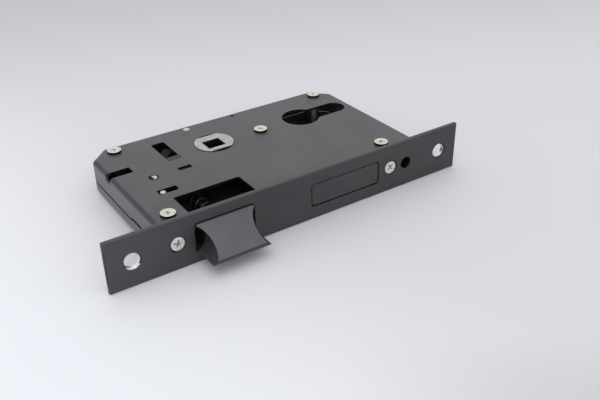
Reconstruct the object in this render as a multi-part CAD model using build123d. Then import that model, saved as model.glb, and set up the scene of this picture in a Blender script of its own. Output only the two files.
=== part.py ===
from build123d import *
import math
import os

# Mortise lock case for a standard profile cylinder and a square spindle.
# Origin: centre of the forend's front face. X runs along the forend to the dead bolt's end,
# Y runs into the case, Z rises through the cover. Millimetres.

# Forend
forend_length = 168.0
forend_width = 22.0
forend_thickness = 2.0
forend_edge = 0.6
fixing_inset = 10.1
fixing_hole = 6.0
fixing_sink = 7.3
slot_corner = 1.5
slot_gap = 0.4
cylinder_screw_hole = 5.5

# Case of two folded sheets
case_length = 124.7
case_shift = 0.65
case_depth = 74.0
case_thickness = 15.0
sheet = 1.2
bend_radius = 1.5
wall_bend = 1.5
corner_cut = 8.0
seam_height = -2.3
seam_step = 0.9
seam_step_y = 29.0
seam_gap = 0.5
seam_front_gap = 1.0

# Spindle and cylinder
rear_margin = 23.0
spindle_inset = 50.4
cylinder_x = 34.8
cylinder_radius = 8.75
cylinder_leg_width = 10.5
cylinder_leg_reach = 24.6
cam_radius = 15.3
cylinder_screw_drop = 19.5
spindle_square = 8.1
spindle_lead = 0.9

# Clearances
slide_gap = 0.3
flat_gap = 0.15
running_gap = 0.06
seat_gap = 0.04
push_gap = 0.15

# Screws
forend_screw_radius = 1.75
forend_screw_head = 2.9
forend_screw_length = 7.5
forend_screw_sunk = 0.35
forend_sink_gap = 0.3
cover_screw_radius = 1.6
cover_screw_head = 3.05
cover_screw_head_height = 1.2
cover_screw_crown = 0.6
cover_screw_length = 6.0
cover_screw_hole_gap = 0.25
recess_width = 0.75
recess_span = 3.4
recess_depth = 0.8

# Blocks and pillars that take the screws
left_forend_screw_inset = 6.0
right_forend_screw_gap = 7.1
left_cover_screw_inset = 7.4
left_cover_screw_y = 9.8
right_cover_screw_side = 1.8
right_cover_screw_y = 9.3
block_depth = 12.0
left_block_reach = 5.2
right_block_left = 4.5
right_block_right = 5.2
rear_left_inset = 11.0
rear_left_margin = 5.5
rear_right_inset = 8.7
rear_right_margin = 5.7
centre_post_side = 22.8
centre_post_ahead = 1.4
pillar_radius = 3.0
rivet_radius = 1.9

# Latch
latch_inset = 26.0
latch_width = 25.4
latch_height = 12.2
latch_reach = 12.8
latch_rear = 8.0
latch_shoulder = 2.0
latch_rear_height = 10.7
latch_blunt = 2.1
latch_tip_round = 1.2
latch_scoop = 3.6
latch_scoop_land = 0.5
rod_radius = 2.0
rod_insert = 5.0
rod_end_ahead = 4.3
nut_radius = 3.2
nut_thickness = 2.4
latch_wire = 0.8
latch_coil_radius = 3.0
latch_coil_turns = 7

# Latch window in both sheets
window_left_reach = 11.7
window_right_reach = 17.8
window_front = 6.5
window_back = 20.0
window_corner = 0.8

# Bracket behind the latch spring
bracket_ahead = 14.5
bracket_thickness = 2.6
bracket_reach = 5.2
bracket_tab_start = 0.6
bracket_tab_end = 6.4
bracket_height = 5.2
bracket_tab_low = 1.0

# Tail plate that draws the latch back
tail_travel = 11.0
tail_reach = 4.8
tail_sheet = 2.0
tail_behind_lug = 4.5
fork_radius = 4.0
fork_crown = 3.8
lug_side = 3.4
lug_width = 5.6
lug_ahead = 4.0
lug_depth = 3.0
lug_stem = 2.4
lug_shoulder = 3.9
lug_slot_spare = 4.0
lug_slot_gap = 0.25
nose_reach = 10.9
nose_depth = 3.5
nose_top = -1.5

# Follower
follower_journal = 8.75
follower_hub = 9.2
follower_proud = 0.5
follower_proud_back = 0.5
follower_edge = 0.35
follower_flats = 14.4
follower_reach = 15.5
follower_tip = 2.0
follower_arm_rear = 0.9
follower_arm_root = 5.0
follower_arm_root_u = 6.0
follower_arm_low = -5.9
stop_arm_short = 0.3
stop_arm_width = 4.0
stop_arm_half = 3.0
stop_radius = 1.5
stop_margin = 3.4

# Return lever below the cover
lever_pivot_side = 10.8
lever_pivot_ahead = 13.5
lever_sheet = 0.7
lever_hub = 3.5
lever_pivot_radius = 1.5
lever_pivot_hole = 2.1
lever_swing = 17.0
lever_arm_width = 4.5
lever_arm_over = 1.5
lever_pin_side = 1.9
lever_pin_ahead = 12.7
lever_pin_radius = 1.25
lever_pin_eye = 2.3
lever_pin_slot = 3.6
lever_pin_slot_before = 2.1
lever_pin_slot_after = 6.3
lever_pin_slot_corner = 0.6
lever_pin_crown = 0.5
return_wire = 0.9
return_leg_heading = 145.0
return_leg_length = 14.4
return_hook_reach = 14.0

# Notch in the cover's edge
notch_ahead = 1.8
notch_width = 5.0
notch_reach = 10.4
notch_depth = 3.2

# Dead bolt
bolt_side = 13.1
bolt_width = 34.4
bolt_height = 9.8
bolt_rear_ahead = 31.5
bolt_corner = 1.3
bolt_front_edge = 0.4
bolt_travel = 14.0
bolt_tail_sheet = 3.0
bolt_tail_insert = 8.0
bolt_tail_far_side = 29.8
bolt_tail_near_side = 10.8
bolt_tail_rail = 3.0
bolt_tail_margin = 3.0
talon_depth = 6.5
talon_width = 8.0
talon_land = 3.0
bolt_rivet_radius = 1.8
bolt_rivet_far_side = 23.4
bolt_rivet_near_side = 15.8
stump_side = 18.3
stump_ahead = 11.0
stump_radius = 1.6
stump_height = 2.7

# Tumbler that holds the dead bolt
tumbler_pin_side = 8.3
tumbler_pin_margin = 4.4
tumbler_pin_radius = 1.6
tumbler_shoulder = 2.6
tumbler_hub = 3.0
tumbler_sheet = 1.5
tumbler_drop = 4.5
tumbler_wall = 2.1
tumbler_arm_side = 18.6
tumbler_knee_side = 17.4
tumbler_knee_behind = 3.5
tumbler_wire = 0.7
tumbler_spring_hole_side = 25.5
tumbler_spring_hole_margin = 3.0
tumbler_spring_knee_side = 24.2
tumbler_spring_knee_behind = 7.5
tumbler_spring_bend = 1.5
spring_hole_radius = 0.9

# Places worked out from the sizes above
case_left = case_shift - case_length / 2
case_right = case_shift + case_length / 2
case_front = forend_thickness
case_back = case_front + case_depth
half_case = case_thickness / 2
half_inside = half_case - sheet
past = 5.0
backset = case_back - rear_margin
spindle_x = case_left + spindle_inset
bolt_x = cylinder_x - bolt_side
latch_x = case_left + latch_inset
lug_x = latch_x + lug_side
lug_front = backset - lug_ahead
rod_end = backset - rod_end_ahead
bracket_front = backset - bracket_ahead
bracket_tab_left = latch_x + bracket_tab_start
bracket_tab_right = latch_x + bracket_tab_end
left_forend_screw_x = case_left + left_forend_screw_inset
right_forend_screw_x = bolt_x + bolt_width / 2 + right_forend_screw_gap
left_cover_screw = (case_left + left_cover_screw_inset, left_cover_screw_y)
right_cover_screw = (right_forend_screw_x + right_cover_screw_side, right_cover_screw_y)
rear_left = (case_left + rear_left_inset, case_back - rear_left_margin)
rear_right = (case_right - rear_right_inset, case_back - rear_right_margin)
centre_post = (cylinder_x - centre_post_side, backset - centre_post_ahead)
stop_y = case_back - stop_margin
lever_pivot = (latch_x - lever_pivot_side, backset - lever_pivot_ahead)
lever_pin = (lever_pivot[0] - lever_pin_side, lever_pivot[1] - lever_pin_ahead)
notch_y = backset - notch_ahead
bolt_length = backset - bolt_rear_ahead
bolt_tail_right = cylinder_x - bolt_tail_near_side
stump = (cylinder_x - stump_side, backset - stump_ahead)
tumbler_pin = (cylinder_x - tumbler_pin_side, case_back - tumbler_pin_margin)
tumbler_arm_knee = (cylinder_x - tumbler_knee_side, backset + tumbler_knee_behind)
tumbler_spring_hole = (cylinder_x - tumbler_spring_hole_side, case_back - tumbler_spring_hole_margin)
tumbler_spring_knee = (cylinder_x - tumbler_spring_knee_side, backset + tumbler_spring_knee_behind)


# Shapes between stated limits
def span_box(x0, x1, y0, y1, z0, z1):
    return Pos((x0 + x1) / 2, (y0 + y1) / 2, (z0 + z1) / 2) * Box(x1 - x0, y1 - y0, z1 - z0)


def upright(place, radius, z0, z1):
    return Pos(place[0], place[1], (z0 + z1) / 2) * Cylinder(radius, z1 - z0)


def along_y(x, radius, y0, y1):
    return Pos(x, (y0 + y1) / 2, 0) * Rot(90, 0, 0) * Cylinder(radius, y1 - y0)


def plate(points, z0, z1):
    return Pos(0, 0, z0) * extrude(make_face(Polyline(*points, close=True)), z1 - z0)


def rounded_bar(x, width, height, corner, y0, y1):
    across = Plane(origin=(x, y0, 0), x_dir=(1, 0, 0), z_dir=(0, 1, 0))
    return extrude(across * RectangleRounded(width, height, corner), y1 - y0)


def rounded_window(x0, x1, y0, y1, corner, z0, z1):
    flat = Pos((x0 + x1) / 2, (y0 + y1) / 2, z0)
    return extrude(flat * RectangleRounded(x1 - x0, y1 - y0, corner), z1 - z0)


def sink_y(x, rim, hole, y_face):
    depth = rim - hole
    return Pos(x, y_face + depth / 2, 0) * Rot(-90, 0, 0) * Cone(rim, hole, depth)


def wire_along(path, thickness):
    start = Plane(origin=path @ 0, z_dir=path % 0)
    return sweep(start * Circle(thickness / 2), path=path)


def turned(point, centre, degrees):
    c = math.cos(math.radians(degrees))
    s = math.sin(math.radians(degrees))
    dx = point[0] - centre[0]
    dy = point[1] - centre[1]
    return (centre[0] + c * dx - s * dy, centre[1] + s * dx + c * dy)


def cross_recess(top):
    arm = Pos(0, 0, top - recess_depth / 2)
    bar = arm * Box(recess_span, recess_width, recess_depth)
    return bar + arm * Box(recess_width, recess_span, recess_depth)


# Forend: slots for both bolts, sunk screw holes and the cylinder screw's hole
def make_forend():
    end = forend_length / 2
    side = forend_width / 2
    blank = span_box(-end, end, 0, forend_thickness, -side, side)
    blank = fillet(blank.edges(), forend_edge)
    latch_slot = (latch_width + 2 * slot_gap, latch_height + 2 * slot_gap)
    bolt_slot = (bolt_width + 2 * slot_gap, bolt_height + 2 * slot_gap)
    blank -= rounded_bar(latch_x, *latch_slot, slot_corner, -past, forend_thickness + past)
    blank -= rounded_bar(bolt_x, *bolt_slot, slot_corner, -past, forend_thickness + past)
    for x in (fixing_inset - end, end - fixing_inset):
        blank -= along_y(x, fixing_hole / 2, -past, forend_thickness + past)
        blank -= sink_y(x, fixing_sink / 2, fixing_hole / 2, 0)
    for x in (left_forend_screw_x, right_forend_screw_x):
        blank -= along_y(x, forend_screw_radius + forend_sink_gap, -past, forend_thickness + past)
        rim = forend_screw_head + forend_screw_sunk + forend_sink_gap
        blank -= sink_y(x, rim, forend_screw_radius + forend_sink_gap, 0)
    cylinder_screw_x = cylinder_x + cylinder_screw_drop
    blank -= along_y(cylinder_screw_x, cylinder_screw_hole / 2, -past, forend_thickness + past)
    return blank


# Case: one bent shell, cut at the seam into tray and cover
def case_outline():
    points = [
        (case_left, case_front - past),
        (case_right, case_front - past),
        (case_right, case_back - corner_cut),
        (case_right - corner_cut, case_back),
        (case_left + corner_cut, case_back),
        (case_left, case_back - corner_cut),
    ]
    return make_face(Polyline(*points, close=True))


def make_shell():
    outline = case_outline()
    outside = Pos(0, 0, -half_case) * extrude(outline, case_thickness)
    outside = fillet(outside.edges().filter_by(Axis.Z), wall_bend)
    outside = fillet(outside.edges().filter_by(Plane.XY), bend_radius)
    hollow = extrude(offset(outline, -sheet, kind=Kind.INTERSECTION), case_thickness - 2 * sheet)
    shell = outside - Pos(0, 0, -half_inside) * hollow
    beyond = case_length
    return shell - span_box(-beyond, beyond, -beyond, case_front, -half_case, half_case)


def seam_zone(side_sign, top):
    beyond = case_length
    front_level = seam_height + seam_step + side_sign * seam_front_gap / 2
    rear_level = seam_height + side_sign * seam_gap / 2
    front = span_box(-beyond, beyond, -beyond, seam_step_y, front_level, top)
    return front + span_box(-beyond, beyond, seam_step_y, beyond, rear_level, top)


def keyhole(z0, z1):
    centre = (cylinder_x, backset)
    leg_end = cylinder_x + cylinder_leg_reach
    half = cylinder_leg_width / 2
    leg = span_box(cylinder_x, leg_end - half, backset - half, backset + half, z0, z1)
    return upright(centre, cylinder_radius, z0, z1) + leg + upright((leg_end - half, backset), half, z0, z1)


def shared_openings(z0, z1):
    cuts = keyhole(z0, z1)
    cuts += upright((spindle_x, backset), follower_journal + running_gap, z0, z1)
    window_left = latch_x - window_left_reach
    window_right = latch_x + window_right_reach
    cuts += rounded_window(window_left, window_right, window_front, window_back, window_corner, z0, z1)
    lug_half = lug_width / 2 + lug_slot_gap
    lug_back = lug_front + lug_depth + tail_travel + lug_slot_spare
    cuts += rounded_window(
        lug_x - lug_half, lug_x + lug_half, lug_front - lug_slot_gap, lug_back, window_corner, z0, z1
    )
    cuts += span_box(
        bracket_tab_left - seat_gap,
        bracket_tab_right + seat_gap,
        bracket_front - seat_gap,
        bracket_front + bracket_thickness + seat_gap,
        z0,
        z1,
    )
    return cuts


def make_tray(shell):
    tray = shell - seam_zone(-1, case_thickness)
    low = -half_case - past
    high = -half_inside + seat_gap
    tray -= shared_openings(low, high)
    for place in (rear_left, rear_right, centre_post, left_cover_screw, right_cover_screw, lever_pivot):
        tray -= upright(place, rivet_radius + seat_gap, low, high)
    tray -= upright(tumbler_pin, tumbler_pin_radius + seat_gap, low, high)
    tray -= upright((stop_x(), stop_y), stop_radius + seat_gap, low, high)
    return tray


def make_cover(shell):
    cover = shell & seam_zone(1, case_thickness)
    low = half_inside - seat_gap
    high = half_case + past
    cover -= shared_openings(low, high)
    for place in (rear_left, rear_right, centre_post, left_cover_screw, right_cover_screw):
        cover -= upright(place, cover_screw_radius + cover_screw_hole_gap, low, high)
    cover -= upright(lever_pivot, lever_pivot_hole, low, high)
    half = lever_pin_slot / 2
    cover -= rounded_window(
        lever_pin[0] - lever_pin_slot_before, lever_pin[0] + lever_pin_slot_after,
        lever_pin[1] - half, lever_pin[1] + half, lever_pin_slot_corner, low, high,
    )
    notch_half = notch_width / 2
    cover -= span_box(
        case_left - past, case_left + notch_reach, notch_y - notch_half, notch_y + notch_half,
        half_case - notch_depth, high,
    )
    cover -= upright((stop_x(), stop_y), stop_radius + seat_gap, low, high)
    cover -= upright(tumbler_spring_hole, spring_hole_radius, low, high)
    return cover


# Screws
def make_forend_screws():
    head_depth = forend_screw_head - forend_screw_radius
    screws = []
    for x in (left_forend_screw_x, right_forend_screw_x):
        screw = along_y(x, forend_screw_radius, forend_screw_sunk, forend_screw_length)
        screw += sink_y(x, forend_screw_head, forend_screw_head - head_depth, forend_screw_sunk)
        screw -= Pos(x, forend_screw_sunk, 0) * Rot(90, 0, 0) * cross_recess(0)
        screws.append(screw)
    return Compound(children=screws)


def make_cover_screws():
    screws = []
    for place in (rear_left, rear_right, centre_post, left_cover_screw, right_cover_screw):
        rising = (Align.CENTER, Align.CENTER, Align.MIN)
        hanging = (Align.CENTER, Align.CENTER, Align.MAX)
        head = Cylinder(cover_screw_head, cover_screw_head_height, align=rising)
        head = fillet(head.edges().group_by(Axis.Z)[-1], cover_screw_crown)
        screw = head - cross_recess(cover_screw_head_height)
        shank = Cylinder(cover_screw_radius, cover_screw_length, align=hanging)
        screws.append(Pos(place[0], place[1], half_case) * (screw + shank))
    return Compound(children=screws)


# Blocks and pillars between tray and cover, riveted to the tray
def tapped_from_cover(body, place):
    bottom = half_case - cover_screw_length - seat_gap
    return body - upright(place, cover_screw_radius + seat_gap, bottom, half_case)


def make_pillar(place):
    pillar = upright(place, pillar_radius, -half_inside, half_inside)
    pillar += upright(place, rivet_radius, -half_case, -half_inside)
    return tapped_from_cover(pillar, place)


def make_block(x0, x1, forend_screw_x, cover_screw):
    block = span_box(x0, x1, case_front, case_front + block_depth, -half_inside, half_inside)
    block += upright(cover_screw, rivet_radius, -half_case, -half_inside)
    block -= along_y(
        forend_screw_x, forend_screw_radius + seat_gap, case_front - past, forend_screw_length + seat_gap
    )
    return tapped_from_cover(block, cover_screw)


# Latch: bevelled nose, both ends scooped out
def make_latch_head():
    half_height = latch_height / 2
    side = [
        (latch_shoulder, -half_height),
        (-latch_reach, -half_height),
        (-latch_reach, latch_blunt - half_height),
        (0, half_height),
        (latch_shoulder, half_height),
    ]
    upright_side = Plane(origin=(latch_x, 0, 0), x_dir=(0, 1, 0), z_dir=(1, 0, 0))
    head = extrude(upright_side * make_face(Polyline(*side, close=True)), latch_width / 2, both=True)
    head = fillet(head.edges().filter_by(Axis.X).group_by(Axis.Y)[0], latch_tip_round)
    head += rounded_bar(latch_x, latch_width, latch_rear_height, slot_gap, 0, latch_rear)
    half_chord = half_height - latch_scoop_land
    scoop_radius = (half_chord ** 2 + latch_scoop ** 2) / (2 * latch_scoop)
    scoop_centre = latch_width / 2 - latch_scoop + scoop_radius
    for side_sign in (-1, 1):
        scoop_x = latch_x + side_sign * scoop_centre
        head -= along_y(scoop_x, scoop_radius, -latch_reach - past, latch_rear + past)
    head &= rounded_bar(latch_x, latch_width, latch_height, slot_corner - slot_gap, -latch_reach, latch_rear)
    return head - along_y(latch_x, rod_radius + seat_gap, latch_rear - rod_insert, latch_rear + past)


def make_latch_rod():
    return along_y(latch_x, rod_radius, latch_rear - rod_insert, rod_end)


def make_rod_nut():
    collar = along_y(latch_x, nut_radius, rod_end - nut_thickness, rod_end)
    return collar - along_y(latch_x, rod_radius + seat_gap, rod_end - nut_thickness - past, rod_end + past)


def make_latch_spring():
    start = latch_rear + latch_wire / 2 + seat_gap
    length = bracket_front - latch_rear - latch_wire - 2 * seat_gap
    coil = Helix(length / latch_coil_turns, length, latch_coil_radius)
    section = Plane(origin=coil @ 0, z_dir=coil % 0) * Circle(latch_wire / 2)
    return Pos(latch_x, start, 0) * Rot(-90, 0, 0) * sweep(section, path=coil, is_frenet=True)


def make_bracket():
    back = bracket_front + bracket_thickness
    left = latch_x - bracket_reach
    tab_end = half_case - bracket_tab_low
    body = span_box(left, bracket_tab_right, bracket_front, back, -half_inside, bracket_height)
    body += span_box(bracket_tab_left, bracket_tab_right, bracket_front, back, -tab_end, tab_end)
    return body - along_y(latch_x, rod_radius + slide_gap, bracket_front - past, back + past)


# Tail plate: fork behind the nut, lug through both sheets, nose for the follower
def fork_back():
    return rod_end - nut_thickness - push_gap


def follower_half_swing():
    return math.degrees(math.asin(tail_travel / 2 / follower_reach))


def nose_front():
    return backset - tail_travel / 2 + follower_tip + push_gap


def make_tail_plate():
    floor = -half_inside + flat_gap
    top = floor + tail_sheet
    fork_front = fork_back() - tail_sheet
    lug_right = lug_x + lug_width / 2
    lug_left = lug_x - lug_width / 2
    lug_back = lug_front + lug_depth
    tail_back = lug_back + tail_behind_lug
    nose_right = latch_x + nose_reach
    body = span_box(latch_x - tail_reach, lug_right, fork_front, tail_back, floor, top)
    body += span_box(lug_right, nose_right, nose_front(), tail_back, floor, top)
    body += span_box(lug_right, nose_right, nose_front(), nose_front() + nose_depth, floor, nose_top)
    body += span_box(latch_x - fork_radius, latch_x + fork_radius, fork_front, fork_back(), floor, fork_crown)
    body -= along_y(latch_x, rod_radius + slide_gap, fork_front - past, fork_back() + past)
    body += span_box(lug_right - lug_stem, lug_right, lug_front, lug_back, floor, half_case)
    body += span_box(lug_left, lug_right, lug_front, lug_back, lug_shoulder, half_case)
    return body + span_box(lug_left, lug_right, lug_front, lug_back, -half_case, floor)


# Follower: hub with two journals, a driving arm and a stop arm
def make_follower():
    centre = (spindle_x, backset)
    hub = upright(centre, follower_hub, flat_gap - half_inside, half_inside - flat_gap)
    journal = upright(centre, follower_journal, -half_case - follower_proud_back, half_case + follower_proud)
    long = 2 * follower_journal
    flats = span_box(
        spindle_x - long, spindle_x + long, backset - follower_flats / 2, backset + follower_flats / 2,
        -case_thickness, case_thickness,
    )
    journal = journal & flats
    body = hub + fillet(journal.edges().group_by(Axis.Z)[-1], follower_edge)
    arm_points = [
        (follower_reach, -follower_tip),
        (follower_arm_root_u, -follower_arm_root),
        (follower_arm_root_u, follower_arm_rear),
        (follower_reach, follower_arm_rear),
    ]
    arm = plate(arm_points, follower_arm_low, nose_top)
    arm += upright((follower_reach, 0), follower_tip, follower_arm_low, nose_top)
    arm = mirror(arm, about=Plane.XZ)
    body += Pos(spindle_x, backset, 0) * Rot(0, 0, 180 + follower_half_swing()) * arm
    body += span_box(
        spindle_x - stop_arm_width / 2, spindle_x + stop_arm_width / 2, backset, stop_y - stop_arm_short,
        -stop_arm_half, stop_arm_half,
    )
    socket = Box(spindle_square, spindle_square, 2 * case_thickness)
    wide = spindle_square + 2 * spindle_lead
    narrow = spindle_square - 2 * spindle_lead
    top = half_case + follower_proud
    mouth = Pos(0, 0, top) * Rectangle(wide, wide)
    throat = Pos(0, 0, top - 2 * spindle_lead) * Rectangle(narrow, narrow)
    lead = loft([throat, mouth])
    return body - Pos(spindle_x, backset, 0) * (socket + lead)


def stop_x():
    return spindle_x - stop_arm_width / 2 - push_gap - stop_radius


def make_follower_stop():
    return upright((stop_x(), stop_y), stop_radius, -half_case, half_case)


# Return lever: its long arm follows the lug's rear corner
def lug_corner_in_lever(share):
    corner = (lug_x - lug_width / 2, lug_front + lug_depth + push_gap + share * tail_travel)
    return turned(corner, lever_pivot, -share * lever_swing)


def lever_low():
    return half_inside - flat_gap - lever_sheet


def along_lever(point, out, side):
    dx = point[0] - lever_pivot[0]
    dy = point[1] - lever_pivot[1]
    size = math.hypot(dx, dy)
    return (point[0] + (out * dx - side * dy) / size, point[1] + (out * dy + side * dx) / size)


def make_return_lever():
    low = lever_low()
    high = low + lever_sheet
    contact = [lug_corner_in_lever(share) for share in (0, 1 / 2, 1)]
    near, middle, far = [along_lever(point, 0, push_gap) for point in contact]
    tip = along_lever(far, lever_arm_over, 0)
    tip_back = along_lever(tip, 0, lever_arm_width)
    root_back = turned((lever_pivot[0] + lever_hub, lever_pivot[1]), lever_pivot, 135)
    edge = [ThreePointArc(near, middle, far), Line(far, tip), Line(tip, tip_back)]
    edge += [Line(tip_back, root_back), Line(root_back, lever_pivot), Line(lever_pivot, near)]
    lever = Pos(0, 0, low) * extrude(make_face(Wire(edge)), lever_sheet)
    lever += upright(lever_pivot, lever_hub, low, high)
    lever += upright(lever_pin, lever_pin_eye, low, high)
    left_hub = (lever_pivot[0] - lever_pin_eye, lever_pivot[1])
    right_hub = (lever_pivot[0] + lever_pin_eye, lever_pivot[1])
    left_eye = (lever_pin[0] - lever_pin_eye, lever_pin[1])
    right_eye = (lever_pin[0] + lever_pin_eye, lever_pin[1])
    lever += plate([left_hub, left_eye, right_eye, right_hub], low, high)
    lever -= upright(lever_pivot, lever_pivot_radius + running_gap, low - past, high + past)
    return lever - upright(lever_pin, lever_pin_radius + seat_gap, low - past, high + past)


def make_lever_pivot():
    pivot = upright(lever_pivot, lever_pivot_radius, -half_inside, half_case)
    pivot += upright(lever_pivot, lever_hub, -half_inside, lever_low() - return_wire - 2 * flat_gap)
    return pivot + upright(lever_pivot, rivet_radius, -half_case, -half_inside)


def make_lever_pin():
    pin = upright(lever_pin, lever_pin_radius, lever_low(), half_case)
    return fillet(pin.edges().group_by(Axis.Z)[-1], lever_pin_crown)


def make_return_spring():
    level = lever_low() - flat_gap - return_wire / 2
    bend = lever_pivot_radius + return_wire / 2 + running_gap
    far = lug_corner_in_lever(1)
    back_edge = along_lever(far, 0, push_gap + lever_arm_width)
    rise = back_edge[1] - lever_pivot[1]
    run = back_edge[0] - lever_pivot[0]
    edge_heading = math.degrees(math.atan2(rise, run))
    hook_heading = edge_heading + math.degrees(math.asin(return_wire / return_hook_reach)) * 2
    wall_start = turned((lever_pivot[0] + bend, lever_pivot[1]), lever_pivot, return_leg_heading + 90)
    wall_end = turned((wall_start[0] + return_leg_length, wall_start[1]), wall_start, return_leg_heading)
    hook_start = turned((lever_pivot[0] + bend, lever_pivot[1]), lever_pivot, hook_heading - 90)
    hook_end = turned((hook_start[0] + return_hook_reach, hook_start[1]), hook_start, hook_heading)
    middle_heading = (return_leg_heading + 90 + hook_heading - 90 + 360) / 2
    middle = turned((lever_pivot[0] + bend, lever_pivot[1]), lever_pivot, middle_heading)
    leg = Line((*wall_end, level), (*wall_start, level))
    turn = ThreePointArc((*wall_start, level), (*middle, level), (*hook_start, level))
    hook = Line((*hook_start, level), (*hook_end, level))
    return wire_along(Wire([leg, turn, hook]), return_wire)


# Dead bolt: head, tail plate with talon and guide slot, stump
def make_bolt_head():
    head = rounded_bar(bolt_x, bolt_width, bolt_height, bolt_corner, 0, bolt_length)
    head = fillet(head.edges().group_by(Axis.Y)[0], bolt_front_edge)
    slot_half = bolt_tail_sheet / 2 + seat_gap
    head -= span_box(
        bolt_x - bolt_width, bolt_x + bolt_width, bolt_length - bolt_tail_insert, bolt_length + past,
        -slot_half, slot_half,
    )
    for place in bolt_rivet_places():
        head -= upright(place, bolt_rivet_radius + seat_gap, -bolt_height, bolt_height)
    return head


def bolt_rivet_places():
    y = bolt_length - bolt_tail_insert / 2
    return [(cylinder_x - bolt_rivet_far_side, y), (cylinder_x - bolt_rivet_near_side, y)]


def make_bolt_tail():
    half = bolt_tail_sheet / 2
    talon_middle = backset + bolt_travel / 2
    talon_front = talon_middle - talon_width / 2
    talon_back = talon_middle + talon_width / 2
    slot_half = pillar_radius + slide_gap
    rail_right = centre_post[0] + slot_half + bolt_tail_rail
    front = bolt_length - bolt_tail_insert
    bolt_tail_left = cylinder_x - bolt_tail_far_side
    tail = span_box(bolt_tail_left, bolt_tail_right, front, talon_back + talon_land, -half, half)
    tail += span_box(bolt_tail_left, rail_right, talon_back, case_back - bolt_tail_margin, -half, half)
    talon_left = bolt_tail_right - talon_depth
    tail -= span_box(talon_left, bolt_tail_right + past, talon_front, talon_back, -half, half)
    guide = upright(centre_post, slot_half, -half, half)
    guide += upright((centre_post[0], centre_post[1] + bolt_travel), slot_half, -half, half)
    guide += span_box(
        centre_post[0] - slot_half, centre_post[0] + slot_half, centre_post[1], centre_post[1] + bolt_travel,
        -half, half,
    )
    tail -= guide
    for place in bolt_rivet_places():
        tail -= upright(place, bolt_rivet_radius + seat_gap, -half, half)
    return tail


def make_bolt_rivets():
    half = bolt_height / 2
    rivets = [upright(place, bolt_rivet_radius, -half, half) for place in bolt_rivet_places()]
    return Compound(children=rivets)


def make_stump():
    half = bolt_tail_sheet / 2
    return upright(stump, stump_radius, half, half + stump_height)


# Tumbler: gate with a pocket for each place of the dead bolt, arc edge along the cam's path
def tumbler_low():
    return bolt_tail_sheet / 2 + slide_gap


def gate_pocket(stump_y):
    half = stump_radius + slide_gap
    sweep_x = (tumbler_pin[1] - stump_y) * math.radians(tumbler_drop)
    sweep_y = (tumbler_pin[0] - stump[0]) * math.radians(tumbler_drop)
    return (stump[0] - half - sweep_x - slide_gap, stump_y - half, stump_y + half + sweep_y)


def make_tumbler():
    low = tumbler_low()
    high = low + tumbler_sheet
    half = stump_radius + slide_gap
    rear_pocket = gate_pocket(stump[1])
    front_pocket = gate_pocket(stump[1] - bolt_travel)
    left = front_pocket[0] - tumbler_wall
    right = stump[0] + half + tumbler_wall
    front = front_pocket[1] - tumbler_wall
    rear = rear_pocket[2] + tumbler_wall
    outline = [
        (left, front),
        (right, front),
        (right, rear),
        (tumbler_pin[0] + tumbler_hub, tumbler_pin[1]),
        turned((tumbler_pin[0] + tumbler_hub, tumbler_pin[1]), tumbler_pin, 150),
        tumbler_arm_knee,
        (cylinder_x - tumbler_arm_side, rear),
        (left, rear),
    ]
    body = plate(outline, low, high) - upright((cylinder_x, backset), cam_radius + slide_gap, low, high)
    body += upright(tumbler_pin, tumbler_hub, low, half_inside - flat_gap)
    body -= upright(tumbler_pin, tumbler_pin_radius + running_gap, low, half_inside)
    body -= span_box(stump[0] - half, stump[0] + half, front_pocket[1], stump[1] + half, low, high)
    for pocket in (front_pocket, rear_pocket):
        body -= span_box(pocket[0], stump[0], pocket[1], pocket[2], low, high)
    return body


def make_tumbler_pivot():
    pivot = upright(tumbler_pin, tumbler_pin_radius, -half_case, half_inside)
    return pivot + upright(tumbler_pin, tumbler_shoulder, -half_inside, tumbler_low() - running_gap)


def make_tumbler_spring():
    level = tumbler_low() + tumbler_sheet / 2
    end = (tumbler_arm_knee[0] - tumbler_wire, tumbler_arm_knee[1])
    path = FilletPolyline(
        (*tumbler_spring_hole, half_case),
        (*tumbler_spring_hole, level),
        (*tumbler_spring_knee, level),
        (*end, level),
        radius=tumbler_spring_bend,
    )
    return wire_along(path, tumbler_wire)


# Every piece under its own name
shell = make_shell()
pieces = {
    "forend": make_forend(),
    "case_tray": make_tray(shell),
    "case_cover": make_cover(shell),
    "forend_screws": make_forend_screws(),
    "cover_screws": make_cover_screws(),
    "front_left_block": make_block(
        case_left + sheet, left_cover_screw[0] + left_block_reach, left_forend_screw_x, left_cover_screw
    ),
    "front_right_block": make_block(
        right_forend_screw_x - right_block_left,
        right_forend_screw_x + right_block_right,
        right_forend_screw_x,
        right_cover_screw,
    ),
    "rear_left_pillar": make_pillar(rear_left),
    "rear_right_pillar": make_pillar(rear_right),
    "centre_pillar": make_pillar(centre_post),
    "latch_head": make_latch_head(),
    "latch_rod": make_latch_rod(),
    "rod_nut": make_rod_nut(),
    "latch_spring": make_latch_spring(),
    "latch_bracket": make_bracket(),
    "tail_plate": make_tail_plate(),
    "follower": make_follower(),
    "follower_stop": make_follower_stop(),
    "return_lever": make_return_lever(),
    "return_lever_pivot": make_lever_pivot(),
    "lever_pin": make_lever_pin(),
    "return_spring": make_return_spring(),
    "deadbolt_head": make_bolt_head(),
    "deadbolt_tail": make_bolt_tail(),
    "bolt_rivets": make_bolt_rivets(),
    "deadbolt_stump": make_stump(),
    "tumbler": make_tumbler(),
    "tumbler_pivot": make_tumbler_pivot(),
    "tumbler_spring": make_tumbler_spring(),
}
os.makedirs("parts", exist_ok=True)
for name, piece in pieces.items():
    export_step(piece, f"parts/{name}.step")
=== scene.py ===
import math
import bpy
import numpy as np
from mathutils import Matrix, Vector


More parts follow.
